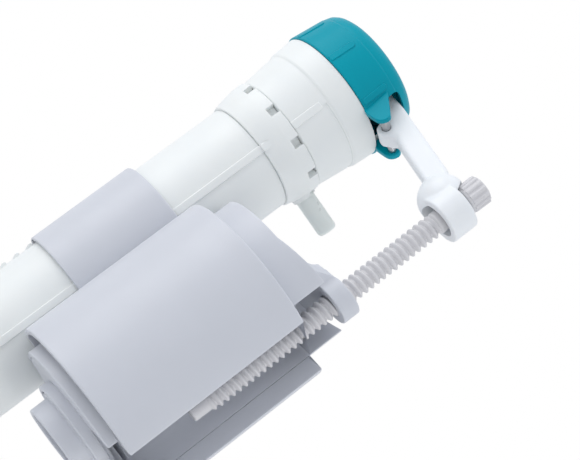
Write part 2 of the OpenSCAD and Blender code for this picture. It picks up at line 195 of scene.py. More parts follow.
def screw(root_r, crest_r, pitch, turns, low_z, steps=48, land=0.22):
    """A threaded rod from low_z up, with rounded crests that run out into the root at both ends."""
    bm = bmesh.new()
    rise = (1 - 2 * land) / 2 * pitch
    foot = rise + land * pitch * 0.9
    outline(bm, [(root_r, 0), (root_r, foot - rise), (crest_r, foot, pitch * 0.12),
                 (crest_r, foot + land * pitch, pitch * 0.12), (root_r, pitch)], closed=False)
    bmesh.ops.spin(bm, geom=bm.verts[:] + bm.edges[:], cent=(0, 0, 0), axis=(0, 0, 1),
                   dvec=(0, 0, pitch / steps), angle=math.tau * turns, steps=steps * turns)
    bmesh.ops.remove_doubles(bm, verts=bm.verts, dist=pitch / steps / 4)
    top = turns * pitch
    for v in bm.verts:
        height = min(v.co.z, top + pitch - v.co.z)
        share = min(max(height / pitch - 1, 0), 1)
        radius = math.hypot(v.co.x, v.co.y)
        v.co.xy *= (root_r + (radius - root_r) * share) / radius
    for z, below in ((-pitch * 0.2, True), (top + pitch * 1.2, False)):
        rim = [e for e in bm.edges if e.is_boundary and (e.verts[0].co.z < top / 2) == below]
        new = bmesh.ops.extrude_edge_only(bm, edges=rim)["geom"]
        for v in new:
            if isinstance(v, bmesh.types.BMVert):
                v.co.z = z
    bmesh.ops.remove_doubles(bm, verts=bm.verts, dist=pitch / steps / 4)
    bmesh.ops.holes_fill(bm, edges=[e for e in bm.edges if e.is_boundary], sides=0)
    bmesh.ops.translate(bm, vec=(0, 0, low_z + pitch * 0.2), verts=bm.verts)
    return tidy_mesh(bm)


def swept(points, degrees, steps, rise=0):
    """The closed (x, z) outline carried round +Z through an angle, climbing by rise at each step."""
    bm = bmesh.new()
    outline(bm, points)
    bmesh.ops.edgeloop_fill(bm, edges=bm.edges[:])
    bmesh.ops.spin(bm, geom=bm.faces[:], cent=(0, 0, 0), axis=(0, 0, 1), dvec=(0, 0, rise),
                   angle=math.radians(degrees), steps=steps)
    return tidy_mesh(bm)


def moulded(name, colour, tint, roughness=0.38, glow=0.25, grain=0.05):
    """Moulded plastic or rubber: faint flow in the colour, uneven gloss, and a fine mould grain."""
    material = bpy.data.materials.new(name)
    material.use_nodes = True
    tree = material.node_tree
    shader = tree.nodes["Principled BSDF"]
    shader.inputs["Subsurface Weight"].default_value = glow
    shader.inputs["Subsurface Radius"].default_value = (1.0, 0.95, 0.9)
    shader.inputs["Subsurface Scale"].default_value = 1.5 * MM
    shader.inputs["IOR"].default_value = 1.48
    place = tree.nodes.new("ShaderNodeTexCoord")
    flow = tree.nodes.new("ShaderNodeTexNoise")
    flow.inputs["Scale"].default_value = 70
    flow.inputs["Detail"].default_value = 3
    fine = tree.nodes.new("ShaderNodeTexNoise")
    fine.inputs["Scale"].default_value = 1600
    fine.inputs["Detail"].default_value = 2
    mix = tree.nodes.new("ShaderNodeMix")
    mix.data_type = "RGBA"
    mix.inputs["A"].default_value = (*colour, 1)
    mix.inputs["B"].default_value = (*tint, 1)
    gloss = tree.nodes.new("ShaderNodeMapRange")
    gloss.inputs["From Min"].default_value = 0.3
    gloss.inputs["From Max"].default_value = 0.7
    gloss.inputs["To Min"].default_value = roughness - 0.05
    gloss.inputs["To Max"].default_value = roughness + 0.07
    bump = tree.nodes.new("ShaderNodeBump")
    bump.inputs["Strength"].default_value = grain
    bump.inputs["Distance"].default_value = 0.05 * MM
    link = tree.links.new
    link(place.outputs["Object"], flow.inputs["Vector"])
    link(place.outputs["Object"], fine.inputs["Vector"])
    link(flow.outputs["Fac"], mix.inputs["Factor"])
    link(mix.outputs["Result"], shader.inputs["Base Color"])
    link(flow.outputs["Fac"], gloss.inputs["Value"])
    link(gloss.outputs["Result"], shader.inputs["Roughness"])
    link(fine.outputs["Fac"], bump.inputs["Height"])
    link(bump.outputs["Normal"], shader.inputs["Normal"])
    return material


def piece(name, bm, material, body, node=None):
    """A finished piece: in metres, smooth where it is round, on its body, in its CAD node's place."""
    bmesh.ops.scale(bm, vec=(MM, MM, MM), verts=bm.verts)
    obj = as_object(bm, name)
    obj.data.materials.append(material)
    obj.data.shade_smooth()
    obj.data.set_sharp_from_angle(angle=math.radians(38))
    shading = obj.modifiers.new("even_shading", "WEIGHTED_NORMAL")
    shading.keep_sharp = True
    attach(obj, body)
    if node:
        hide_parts(node)
    return obj


natural_white = moulded("natural_acetal", (0.84, 0.86, 0.84), (0.80, 0.83, 0.83))

shank_low, shank_high = box_of("threaded_shank")
seat_top = box_of("tank_washer")[1].z
flange_top = box_of("base_socket")[0].z
shank_turns = int((seat_top - 3 - shank_low.z) / SHANK_PITCH) - 1
shank_screw = screw(SHANK_ROOT_R, SHANK_R, SHANK_PITCH, shank_turns, shank_low.z, land=0.12)
STANDPIPE_R = 6.8
RING_GROOVE_R = 5.6
shank_body = lathe([(0, shank_low.z + 30), (SHANK_ROOT_R - 0.1, shank_low.z + 30),
                    (SHANK_ROOT_R - 0.1, -3), (SHANK_R, -1.4), (SHANK_R, seat_top),
                    (shank_high.x, seat_top, 0.5), (shank_high.x, flange_top, 0.7),
                    (9, flange_top, 1.2), (STANDPIPE_R, flange_top + 2.4, 1),
                    (STANDPIPE_R, 86), (RING_GROOVE_R, 86.2), (RING_GROOVE_R, 87.9), (STANDPIPE_R, 88.1),
                    (STANDPIPE_R, 91), (RING_GROOVE_R, 91.2), (RING_GROOVE_R, 92.9), (STANDPIPE_R, 93.1),
                    (STANDPIPE_R, shank_high.z - 1), (6.2, shank_high.z, 0.3), (0, shank_high.z)])
shank_body = combined(shank_body, "UNION", [shank_screw])
shank_bores = lathe([(0, shank_low.z - 1), (7.6, shank_low.z - 1), (7, shank_low.z + 0.7), (7, 0),
                     (5, 1.5), (5, shank_high.z - 0.8), (5.6, shank_high.z + 1), (0, shank_high.z + 1)])
flange_ribs = [turned(block((9.5, -0.6, flange_top - 0.5), (13.7, 0.6, flange_top + 1.6)), a)
               for a in range(0, 360, 30)]
shank_body = combined(combined(shank_body, "DIFFERENCE", [shank_bores]), "UNION", flange_ribs)
piece("shank", shank_body, natural_white, "base", "threaded_shank")


# ---- Tank washer, slip washer and locknut ----
# The rubber washer seals the cistern's hole from above. The nylon slip washer and the winged
# acetal nut are spun up the shank from below and clamp the floor between them.

rubber_grey = moulded("washer_rubber", (0.030, 0.031, 0.034), (0.060, 0.060, 0.062), 0.62, 0.0, 0.4)
tank_high = box_of("tank_washer")[1]
tank_ring = lathe([(SHANK_R, 0, 0.3), (12, 0, 0.2), (12.4, 0.6, 0.2), (13.2, 0.6, 0.2), (13.6, 0, 0.2),
                   (14.6, 0, 0.2), (15, 0.6, 0.2), (15.8, 0.6, 0.2), (16.2, 0, 0.2), (17.5, 0, 0.5),
                   (tank_high.x, 1.2, 0.5), (tank_high.x, tank_high.z, 0.5), (SHANK_R, tank_high.z, 0.3)])
piece("tank_seal", tank_ring, rubber_grey, "base", "tank_washer")

slip_low, slip_high = box_of("slip_washer")
SLIP_BORE = SHANK_R + 0.35
slip_ring = lathe([(SLIP_BORE, slip_low.z, 0.3), (slip_high.x, slip_low.z, 0.5),
                   (slip_high.x, slip_high.z, 0.5), (18, slip_high.z, 0.2), (17.6, slip_high.z - 0.3, 0.2),
                   (12.4, slip_high.z - 0.3, 0.2), (12, slip_high.z, 0.2), (SLIP_BORE, slip_high.z, 0.3)])
piece("slip_ring", slip_ring, natural_white, "slip_washer", "slip_washer")

nut_low, nut_high = box_of("locknut")
NUT_BORE = 10.6
nut_rim = lathe([(NUT_BORE, nut_low.z), (14.5, nut_low.z, 0.8), (14.5, nut_high.z - 2.6, 0.6),
                 (18, nut_high.z - 2, 0.6), (18, nut_high.z, 0.6), (NUT_BORE, nut_high.z)])
wings = [turned(block((13, -1.6, nut_low.z), (19.2, 1.6, nut_high.z - 1)), a) for a in range(0, 360, 60)]
grips = [turned(block((13, -0.6, nut_low.z + 1.5), (15, 0.6, nut_high.z - 1.5)), a)
         for a in range(15, 360, 15) if a % 60]
nut = softened(combined(nut_rim, "UNION", wings + grips), 0.4)
mouths = [rod_between((0, 0, nut_low.z - 0.5), (0, 0, nut_low.z + 0.8), 11.9, NUT_BORE, steps=96),
          rod_between((0, 0, nut_high.z + 0.5), (0, 0, nut_high.z - 0.8), 11.9, NUT_BORE, steps=96)]
nut = combined(nut, "DIFFERENCE", mouths)
NUT_TURNS = 4
TURN_STEPS = 48
ridge = swept([(10.7, -0.78), (9.75, -0.12), (9.75, 0.12), (10.7, 0.78)], 360 * NUT_TURNS,
              TURN_STEPS * NUT_TURNS, SHANK_PITCH / TURN_STEPS)
thread_foot = shank_low.z + 0.25 * SHANK_PITCH
thread_foot += SHANK_PITCH * math.ceil((nut_low.z + 1.4 - thread_foot) / SHANK_PITCH)
nut = gathered([nut, shifted(ridge, 0, 0, thread_foot)])
piece("wing_nut", nut, natural_white, "locknut", "locknut")


# ---- Base socket and height lock collar ----
# The socket stands on the shank's flange. The riser slides in it, and its split top is what
# the ribbed collar squeezes. Both are moulded acetal, and tank water leaves by the low windows.

socket_low, socket_high = box_of("base_socket")
SOCKET_BORE = 17.05
SLIT_FOOT = 25
socket = lathe([(SOCKET_BORE, socket_low.z, 0.3), (20.6, socket_low.z, 0.4),
                (20.6, socket_low.z + 1.6, 0.4), (socket_high.x, socket_low.z + 2.2, 0.4),
                (socket_high.x, socket_high.z, 0.6),
                (SOCKET_BORE, socket_high.z, 0.6)])
windows = [turned(block((12, -3.5, socket_low.z + 1.5), (22, 3.5, socket_low.z + 10)), a)
           for a in range(15, 360, 90)]
slits = [turned(block((12, -0.8, SLIT_FOOT), (22, 0.8, 41)), a) for a in range(20, 360, 90)]
slit_ends = [turned(rod_between((12, 0, SLIT_FOOT), (22, 0, SLIT_FOOT), 1.3, steps=24), a)
             for a in range(20, 360, 90)]
socket = combined(socket, "DIFFERENCE", windows + slits + slit_ends)
socket_ribs = [turned(block((19.2, -0.9, socket_low.z + 1), (20.4, 0.9, 31.5)), a)
               for a in range(65, 425, 90)]
socket = softened(combined(socket, "UNION", socket_ribs), 0.3)
piece("socket", socket, natural_white, "base", "base_socket")

lock_low = box_of("height_lock_collar")[0]
lock_top = box_of("height_lock_collar")[1].z
collar = lathe([(19.95, lock_low.z, 0.3), (22.2, lock_low.z, 0.5), (22.2, lock_top - 3, 1.4),
                (20.5, lock_top, 1.0), (SOCKET_BORE, lock_top, 0.5), (SOCKET_BORE, 40.5, 0.3),
                (19.95, 40.5, 0.3)])
ribs = [turned(block((21.8, -0.5, lock_low.z + 1), (22.75, 0.5, lock_top - 4.2)), a)
        for a in range(0, 360, 8)]
tabs = [turned(block((21, -5, lock_low.z), (25.4, 5, lock_top - 4)), a) for a in range(30, 390, 120)]
collar = softened(combined(collar, "UNION", ribs + tabs), 0.3)
piece("lock_ring", collar, natural_white, "lock_collar", "height_lock_collar")


# ---- Parts of the water way ----
# The mesh basket and the restrictor disc are pushed up the shank's bore, and two rubber rings
# on the standpipe seal the riser's inner supply tube. They keep the CAD shapes.

def wear_cad(node, material):
    """Gives a CAD node its finish."""
    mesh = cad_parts[node].data
    mesh.materials.clear()
    mesh.materials.append(material)


filter_nylon = moulded("filter_nylon", (0.52, 0.55, 0.57), (0.44, 0.47, 0.50), 0.5, 0.1, 0.6)
restrictor_orange = moulded("restrictor_orange", (0.80, 0.24, 0.03), (0.70, 0.19, 0.03), 0.42, 0.1)
rubber_black = moulded("seal_rubber", (0.012, 0.012, 0.013), (0.03, 0.03, 0.031), 0.55, 0.0, 0.3)
wear_cad("inlet_filter", filter_nylon)
wear_cad("flow_restrictor", restrictor_orange)
wear_cad("standpipe_o_rings", rubber_black)


# ---- Riser tube ----
# The telescoping outer tube, with a guide rail up one side and height-setting teeth up the
# back. It is one long acetal moulding, with a parting line opposite the rail.

RAIL_ANGLE = -50
TOOTH_ANGLE = -140
TOOTH_PITCH = 4.3
TOOTH_COUNT = 25
NIPPLE_ANGLE = 46
RISER_R = 16
RISER_BORE = 14.4
RAIL_HALF = 1.15
riser_low, riser_high = box_of("riser_tube")
ring_low, ring_high = box_of("coupling_ring")
nipple_z = ring_low.z + 6.2
tube = lathe([(RISER_BORE, riser_low.z, 0.4), (RISER_R, riser_low.z, 0.6), (RISER_R, ring_low.z, 0.4),
              (14.7, ring_low.z, 0.2), (14.7, riser_high.z, 0.4), (13.2, riser_high.z, 0.3),
              (13.2, 163.5, 0.3), (RISER_BORE, 162.6, 0.3)], 180)
rail = softened(block((15, -RAIL_HALF, riser_low.z + 0.5), (16.5, RAIL_HALF, ring_low.z + 0.2)), 0.3)
parting = softened(block((15, -0.5, riser_low.z + 8), (16.12, 0.5, ring_low.z + 0.2)), 0.1)
teeth = []
for i in range(TOOTH_COUNT):
    foot = riser_low.z + 2 + i * TOOTH_PITCH
    tooth = prism([(14.9, foot), (15.8, foot), (16.68, foot + 1.3, 0.4), (16.68, foot + 2.4, 0.35),
                   (14.9, foot + 2.6)], 5)
    teeth.append(turned(shifted(tooth, 0, -2.5, 0), TOOTH_ANGLE))
tube = combined(tube, "UNION", [turned(rail, RAIL_ANGLE), turned(parting, RAIL_ANGLE + 180)] + teeth)
notches = [turned(block((10, -3, riser_low.z - 1), (18, 3, riser_low.z + 5)), a)
           for a in range(45, 405, 90)]
nipple_way = turned(rod_between((10, 0, nipple_z), (25, 0, nipple_z), 3.1), NIPPLE_ANGLE)
tube = combined(tube, "DIFFERENCE", notches + [nipple_way])
piece("riser", tube, natural_white, "riser", "riser_tube")


# ---- Supply tube ----
# The inner tube that hangs from the head and slides over the standpipe with the riser.
# It is extruded acetal and can only be seen through the riser's open foot.

supply_low, supply_high = box_of("supply_tube")
supply = lathe([(7.2, supply_low.z, 0.5), (9, supply_low.z, 0.3), (9, supply_high.z),
                (7.2, supply_high.z)], 96)
piece("inner_tube", supply, natural_white, "riser", "supply_tube")


# ---- Coupling ring and refill nipple ----
# The ring joins the riser to the head. Small square windows along its top edge let the snap
# fingers be seen and freed. The clear nylon nipple takes the hose to the overflow.

ring = lathe([(14.75, ring_low.z, 0.2), (16.6, ring_low.z, 0.3), (17.5, ring_low.z + 4, 0.8),
              (17.9, ring_high.z - 3.4, 0.3), (18.0, ring_high.z, 0.35), (14.75, ring_high.z, 0.2)], 180)
ring_rail = softened(block((15.2, -RAIL_HALF, ring_low.z - 0.1), (17.1, RAIL_HALF, ring_high.z - 3.4)), 0.3)
boss = turned(rod_between((15.5, 0, nipple_z), (18.4, 0, nipple_z), 3.9, 3.5), NIPPLE_ANGLE)
ring = combined(ring, "UNION", [turned(ring_rail, RAIL_ANGLE), boss])
ring_cuts = [turned(block((15.7, -1.4, ring_high.z - 2.8), (20, 1.4, ring_high.z + 1)), a)
             for a in range(0, 360, 36)]
ring_cuts.append(turned(rod_between((10, 0, nipple_z), (25, 0, nipple_z), 3.05), NIPPLE_ANGLE))
ring = softened(combined(ring, "DIFFERENCE", ring_cuts), 0.16, segments=2)
piece("window_ring", ring, natural_white, "riser", "coupling_ring")

nipple_clear = moulded("nipple_nylon", (0.86, 0.90, 0.87), (0.80, 0.86, 0.83), 0.3, 0.5, 0.03)
nipple_clear.node_tree.nodes["Principled BSDF"].inputs["Transmission Weight"].default_value = 0.12
nipple = lathe([(1.8, 12.2), (3, 12.2), (3, 18.5, 0.15), (2.95, 18.7), (2.9, 19), (2.9, 29.4, 0.4),
                (2.5, 30, 0.3), (1.8, 30, 0.3)], 64)
nipple = shifted(turned(nipple, 90, "Y"), 0, 0, nipple_z)
piece("hose_nipple", turned(nipple, NIPPLE_ANGLE), nipple_clear, "riser", "refill_nipple")


# ---- Valve head ----
# The white bowl that holds the diaphragm. It widens upwards, with one shallow step and a
# parting groove that runs from the rail round to the lever's side.

head_low = box_of("valve_head")[0]
cap_foot = box_of("cap")[0].z + 0.6
STEP_Z = 187
GROOVE_SWEEP = 112
INLET_TOP = 188
DIAPHRAGM_SHELF = 190
bowl = lathe([(5.2, head_low.z), (17.5, head_low.z, 0.5), (18.72, STEP_Z - 0.7, 0.4), (18.8, STEP_Z, 0.2),
              (19.2, STEP_Z + 0.5, 0.4), (19.7, cap_foot - 0.1, 0.3), (18.2, cap_foot - 0.1, 0.2),
              (18.2, cap_foot + 4.3, 0.3), (17, cap_foot + 4.3, 0.3), (16.8, 195.2, 0.2),
              (16.8, DIAPHRAGM_SHELF, 0.2), (15, DIAPHRAGM_SHELF, 0.3), (15, head_low.z + 2.2, 0.6),
              (8, head_low.z + 2.2, 0.6), (8, INLET_TOP, 0.2), (5.2, INLET_TOP, 0.2)], 180)
head_rail = prism([(16.8, head_low.z), (17.95, head_low.z), (18.7, STEP_Z - 2), (17.6, STEP_Z - 1.4)],
                  2 * RAIL_HALF)
head_rail = turned(shifted(softened(head_rail, 0.25), 0, -RAIL_HALF, 0), RAIL_ANGLE)
bowl = combined(bowl, "UNION", [head_rail])
groove = swept([(18.35, STEP_Z - 1.5), (19.6, STEP_Z - 1.7), (19.6, STEP_Z - 0.15),
                (18.45, STEP_Z - 0.35, 0.3)], GROOVE_SWEEP, GROOVE_SWEEP // 2)
outlets = [turned(rod_between((11.4, 0, head_low.z - 1), (11.4, 0, head_low.z + 3), 1.8, steps=24), a)
           for a in range(30, 390, 60)]
lever_gap = block((15.8, -8.8, cap_foot - 0.1), (25, 8.8, 205))
bowl = combined(bowl, "DIFFERENCE", [turned(groove, RAIL_ANGLE + 1), lever_gap] + outlets)
piece("head_bowl", bowl, natural_white, "riser", "valve_head")


# ---- Inside the head ----
# Seat, diaphragm, its plate, the metering pin and the pressure plate with the pilot nozzle.
# They are clamped under the cap and keep the CAD shapes. Only the pressure plate can be seen,
# through the lever's slot.

gloss_white = moulded("gloss_acetal", (0.86, 0.88, 0.89), (0.82, 0.85, 0.87), 0.3, 0.2, 0.03)
pin_steel = moulded("ground_steel", (0.50, 0.51, 0.52), (0.40, 0.41, 0.42), 0.28, 0.0, 0.1)
pin_steel.node_tree.nodes["Principled BSDF"].inputs["Metallic"].default_value = 1
for node in ("valve_seat", "diaphragm_plate", "pressure_plate"):
    wear_cad(node, gloss_white)
wear_cad("diaphragm", rubber_grey)
wear_cad("metering_pin", pin_steel)
wear_cad("head_o_ring", rubber_black)


# ---- Cap ----
# The teal cap screws down on the bowl and carries the lever between its two ears. It has slim
# grip ribs, a rounded top edge with a fine bead below it, and a dished top.

CAP_R = 20.1
cap_top = box_of("cap")[1].z
pivot_low, pivot_high = box_of("pivot_pin")
pivot_x = (pivot_low.x + pivot_high.x) / 2
pivot_z = (pivot_low.z + pivot_high.z) / 2
SLOT_HALF = 6.9
slot_top = cap_top - 3.6
cap = lathe([(0, cap_top - 0.9), (11, cap_top - 0.9, 0.4), (11.8, cap_top, 0.5), (18.55, cap_top, 3.6),
             (18.8, cap_top - 4.2, 0.1), (19.05, cap_top - 4.6, 0.15), (CAP_R, cap_foot, 0.45),
             (18.85, cap_foot, 0.3), (17.9, cap_top - 4, 0.3), (17.6, cap_top - 1.6, 2.2),
             (12, cap_top - 1.6, 0.4), (11.4, cap_top - 2.2, 0.4), (0, cap_top - 2.2)], 180)
slot = prism([(-SLOT_HALF, cap_foot - 3), (SLOT_HALF, cap_foot - 3), (SLOT_HALF, slot_top, 1.8),
              (-SLOT_HALF, slot_top, 1.8)], 25)
slot = shifted(turned(slot, -90), 5, 0, 0)
cap = combined(cap, "DIFFERENCE", [slot])
cap_ribs = []
lean = Matrix.Rotation(math.radians(-5.5), 3, "X")
for side in (-1, 1):
    for angle in (31, 75.5, 120, 164.5):
        rib = prism([(-1, cap_foot + 0.4), (1, cap_foot + 0.4), (1, cap_foot + 9, 0.9),
                     (-1, cap_foot + 9, 0.9)], -2.35)
        rib = shifted(softened(rib, 0.25), 0, -18, 0)
        bmesh.ops.rotate(rib, cent=(0, -CAP_R, cap_foot), matrix=lean, verts=rib.verts)
        cap_ribs.append(turned(rib, 90 + side * angle))
EAR_WALL = 1.7
cap_ears = []
for side in (-1, 1):
    ear = prism([(16.6, cap_foot), (19, cap_foot - 0.6, 0.3), (pivot_x - 1, pivot_z - 2.6, 0.8),
                 (pivot_x + 1.6, pivot_z - 2.2, 1.6), (pivot_x + 2.5, pivot_z + 0.9, 1.2),
                 (17.6, cap_foot + 8.2), (16.6, cap_foot + 8.2)], EAR_WALL)
    ear_middle = side * (SLOT_HALF + EAR_WALL / 2)
    cap_ears.append(shifted(softened(ear, 0.25), 0, ear_middle - EAR_WALL / 2, 0))
cap = combined(cap, "UNION", cap_ribs + cap_ears)
PIN_END = SLOT_HALF + 1.3
pin_hole = rod_between((pivot_x, -PIN_END, pivot_z), (pivot_x, PIN_END, pivot_z), 1.32)
cap = combined(cap, "DIFFERENCE", [pin_hole])
cap_teal = moulded("cap_teal", (0.0, 0.33, 0.42), (0.0, 0.29, 0.38), 0.33, 0.0, 0.04)
cap_teal.node_tree.nodes["Principled BSDF"].inputs["Specular IOR Level"].default_value = 0.12
piece("screw_cap", cap, cap_teal, "riser", "cap")


# ---- Pivot pin ----
# A short ground steel pin with rounded ends. It is pushed into blind holes in the cap's two
# ears, and the lever turns on it.

pin_half = PIN_END - 0.1
pin = lathe([(0, -pin_half), (1.28, -pin_half, 0.3), (1.28, pin_half, 0.3), (0, pin_half)], 48)
pin = shifted(turned(pin, -90, "X"), pivot_x, 0, pivot_z)
piece("hinge_pin", pin, pin_steel, "riser", "pivot_pin")


# ---- Lever arm and pilot seal ----
# A drooping acetal bar with a domed eye at its end for the rod's bush. It is moulded in one
# shot with generous fillets, so it is made from overlapping solids melted into one skin.

eye_low, eye_high = box_of("rod_bush")
rod_x = (eye_low.x + eye_high.x) / 2
eye_z = (eye_low.z + eye_high.z) / 2
EYE_R = 6.8
LEVER_SWING = 17.3
MELT_SIZE = 0.3


def fused(base, operation, parts):
    """Joins or cuts closed meshes that share no faces, with the quicker solver."""
    for bm in [base] + parts:
        bmesh.ops.triangulate(bm, faces=[f for f in bm.faces if len(f.verts) > 4])
    return combined(base, operation, parts, "MANIFOLD")


def hull_of(parts):
    """The convex skin round several meshes, which are used up."""
    bm = bmesh.new()
    for part in parts:
        for vert in part.verts:
            bm.verts.new(vert.co)
        part.free()
    bmesh.ops.convex_hull(bm, input=bm.verts)
    bmesh.ops.delete(bm, geom=[v for v in bm.verts if not v.link_faces], context="VERTS")
    return tidy_mesh(bm)


def melted(parts, rounds):
    """Overlapping solids made one skin whose corners and joins are rounded off."""
    obj = as_object(gathered(parts), "melt")
    skin = obj.modifiers.new("skin", "REMESH")
    skin.mode = "VOXEL"
    skin.voxel_size = MELT_SIZE
    soft = obj.modifiers.new("soft", "SMOOTH")
    soft.factor = 0.6
    soft.iterations = rounds
    return with_modifiers(obj)


BAR_WIDTH = 5.2
bar = prism([(8.6, 201.7), (14.5, 199.9), (20.3, 198.2), (pivot_x - 2.2, pivot_z - 1.2),
             (pivot_x, pivot_z - 2.7), (26.4, 195.0), (27.2, 196.2), (49.8, 190.9), (53, 190),
             (52, 196), (46, 199.1), (43, 199.8), (20, 205.1), (14, 205.9), (8.6, 206.1)], BAR_WIDTH)
bar = softened(shifted(bar, 0, -BAR_WIDTH / 2, 0), 1.1)
hub = rod_between((pivot_x, -2.7, pivot_z), (pivot_x, 2.7, pivot_z), 2.8)
eye = rod_between((rod_x, 0, eye_z - 3.9), (rod_x, 0, eye_z + 3.9), EYE_R + 0.1, steps=96)
dome = bmesh.new()
bmesh.ops.create_icosphere(dome, subdivisions=5, radius=EYE_R + 0.1,
                           matrix=Matrix.Translation((rod_x - 4.9, 0, eye_z + 1.7)))
arm = melted([bar, hub, eye, dome], 8)
arm = fused(arm, "DIFFERENCE", [rod_between((pivot_x, -5, pivot_z), (pivot_x, 5, pivot_z), 1.38)])
eye_cuts = ((4.6, -0.85, 0.3, eye_z - 8, eye_z + 3), (2.6, -0.1, 0.8, eye_z, eye_z + 12),
            (5, 0, 0.6, eye_z + 3.8, eye_z + 12))
for radius, x0, x1, z0, z1 in eye_cuts:
    ends = [rod_between((rod_x + x, 0, z0), (rod_x + x, 0, z1), radius, steps=64) for x in (x0, x1)]
    arm = fused(arm, "DIFFERENCE", [hull_of(ends)])
seal_low, seal_high = box_of("pilot_seal")
seal_mid = (seal_low + seal_high) / 2
down = Vector((math.sin(math.radians(LEVER_SWING)), 0, math.cos(math.radians(LEVER_SWING))))
pocket = rod_between(seal_mid - down * 4, seal_mid + down * 1.15, 2.62)
arm = fused(arm, "DIFFERENCE", [pocket])
lever_white = moulded("lever_acetal", (0.85, 0.87, 0.89), (0.81, 0.84, 0.86), 0.34, 0.25, 0.03)
piece("lever", arm, lever_white, "lever", "lever_arm")
wear_cad("pilot_seal", rubber_black)


# ---- Rod bush and adjusting rod ----
# The rod is a coarse grey acetal screw. Its fluted knob stands above the lever's eye, and the
# split bush holds its neck inside the eye.

bush = lathe([(2.28, eye_low.z, 0.2), (3.9, eye_low.z, 0.3), (4.28, eye_z, 1.2), (3.9, eye_high.z, 0.3),
              (2.28, eye_high.z, 0.2)], 64)
bush = fused(bush, "DIFFERENCE", [block((1, -0.4, eye_low.z - 1), (6, 0.4, eye_high.z + 1))])
piece("neck_bush", shifted(bush, rod_x, 0, 0), gloss_white, "rod_carrier", "rod_bush")

rod_low, rod_high = box_of("adjusting_rod")
ROD_R = 3.3
ROD_ROOT_R = 2.4
ROD_PITCH = 2
FLUTE_COUNT = 14
knob_foot = eye_z + 5.1
rod_turns = int((eye_low.z - 0.3 - rod_low.z - 2) / ROD_PITCH) - 1
rod_screw = screw(ROD_ROOT_R, ROD_R, ROD_PITCH, rod_turns, rod_low.z + 2.2, land=0.2)
rod_core = lathe([(0, rod_low.z), (2.35, rod_low.z, 0.5), (2.38, rod_low.z + 6, 0.2), (2.38, eye_low.z - 4),
                  (3.2, eye_low.z - 3.2, 0.3), (3.2, eye_low.z - 0.1, 0.3), (2.2, eye_low.z - 0.1, 0.1),
                  (2.2, knob_foot, 0.1), (3.5, knob_foot, 0.3), (3.9, knob_foot + 0.8, 0.3),
                  (3.9, rod_high.z, 0.5), (1.6, rod_high.z, 0.2), (1.3, rod_high.z - 0.5, 0.2),
                  (0, rod_high.z - 0.5)], 84)
flutes = []
for i in range(FLUTE_COUNT):
    flute = rod_between((3.55, 0, knob_foot + 0.7), (3.7, 0, rod_high.z - 0.35), 0.72, 0.66, steps=12)
    flutes.append(turned(softened(flute, 0.2, segments=2), i * 360 / FLUTE_COUNT))
rod = fused(fused(rod_core, "UNION", [rod_screw]), "UNION", flutes)
rod_grey = moulded("rod_acetal", (0.68, 0.675, 0.69), (0.64, 0.635, 0.65), 0.42, 0.12, 0.05)
piece("level_screw", shifted(rod, rod_x, 0, 0), rod_grey, "rod", "adjusting_rod")


# ---- Float ----
# Three grey polypropylene mouldings: the outer shell with the sleeve that slides on the riser,
# the inner chamber with the threaded lug over the rod's channel, and the stepped bottom plug.

shell_low, shell_high = box_of("float_shell")
core_low, core_high = box_of("float_core")
plug_low = box_of("float_bottom_cap")[0]
SLEEVE_BORE = 16.35
SLEEVE_R = 17.7
SLEEVE_FOOT = 102.4
SLEEVE_TOP = 135.2
SHELL_R = shell_high.y
SHELL_X = 37.6
SHELL_WALL = 1.6
CORE_R = 22.5
CORE_WALL = 1.4
CORE_CREST = 3
CORE_GRIP = 0.03
LUG_HEIGHT = 5.2
CHANNEL_HALF = 10.9
CHANNEL_X = 54.1
SEAM = 0.15


def arc(centre, radius, start, end, steps):
    """Points round an arc in the XY plane, from one angle to another."""
    turns = [math.radians(start + (end - start) * i / steps) for i in range(steps + 1)]
    return [(centre + radius * math.cos(a), radius * math.sin(a)) for a in turns]


def float_plan(outer, channel_in, riser_in):
    """The float's plan: a round, cut away by the riser at one side and the rod's channel opposite."""
    inner = SLEEVE_BORE + riser_in
    half = CHANNEL_HALF + channel_in
    x = (SHELL_X ** 2 + inner ** 2 - outer ** 2) / (2 * SHELL_X)
    waist = math.degrees(math.acos(x / inner))
    far = math.degrees(math.atan2(inner * math.sin(math.radians(waist)), x - SHELL_X))
    mouth = math.degrees(math.asin(half / outer))
    right = arc(SHELL_X, outer, far, mouth, 90)
    left = arc(SHELL_X, outer, -mouth, -far, 90)
    back = arc(CHANNEL_X, half, 90, 270, 48)
    front = arc(0, inner, -waist, waist, 48)
    return right + back + left + front[1:-1]


def float_solid(plan, low, high):
    """The plan made solid between two heights."""
    solid = prism([(x, -y) for x, y in plan], high - low)
    return shifted(turned(solid, 90, "X"), 0, 0, low)


float_grey = moulded("float_polypropylene", (0.62, 0.64, 0.69), (0.585, 0.605, 0.65), 0.36, 0.2, 0.04)
shell = softened(float_solid(float_plan(SHELL_R, 0, 0), shell_low.z, shell_high.z), 0.5, 30)
sleeve = lathe([(SLEEVE_BORE, SLEEVE_FOOT, 0.4), (SLEEVE_R, SLEEVE_FOOT, 0.4), (SLEEVE_R, SLEEVE_TOP, 0.5),
                (SLEEVE_BORE, SLEEVE_TOP, 0.4)], 144)
shell = fused(shell, "UNION", [sleeve])
hollow_plan = float_plan(SHELL_R - SHELL_WALL, SHELL_WALL, SHELL_WALL)
hollow = float_solid(hollow_plan, shell_low.z - 1, shell_high.z - SHELL_WALL)
core_room_plan = float_plan(CORE_R + CORE_GRIP, -1, SHELL_WALL + SEAM / 2)
core_room = float_solid(core_room_plan, shell_low.z - 1.5, shell_high.z + 1)
bore = rod_between((0, 0, shell_low.z - 2), (0, 0, shell_high.z + 2), SLEEVE_BORE, steps=144)
rail_way = turned(block((14, -1.55, shell_low.z - 2), (16.95, 1.55, shell_high.z + 2)), RAIL_ANGLE)
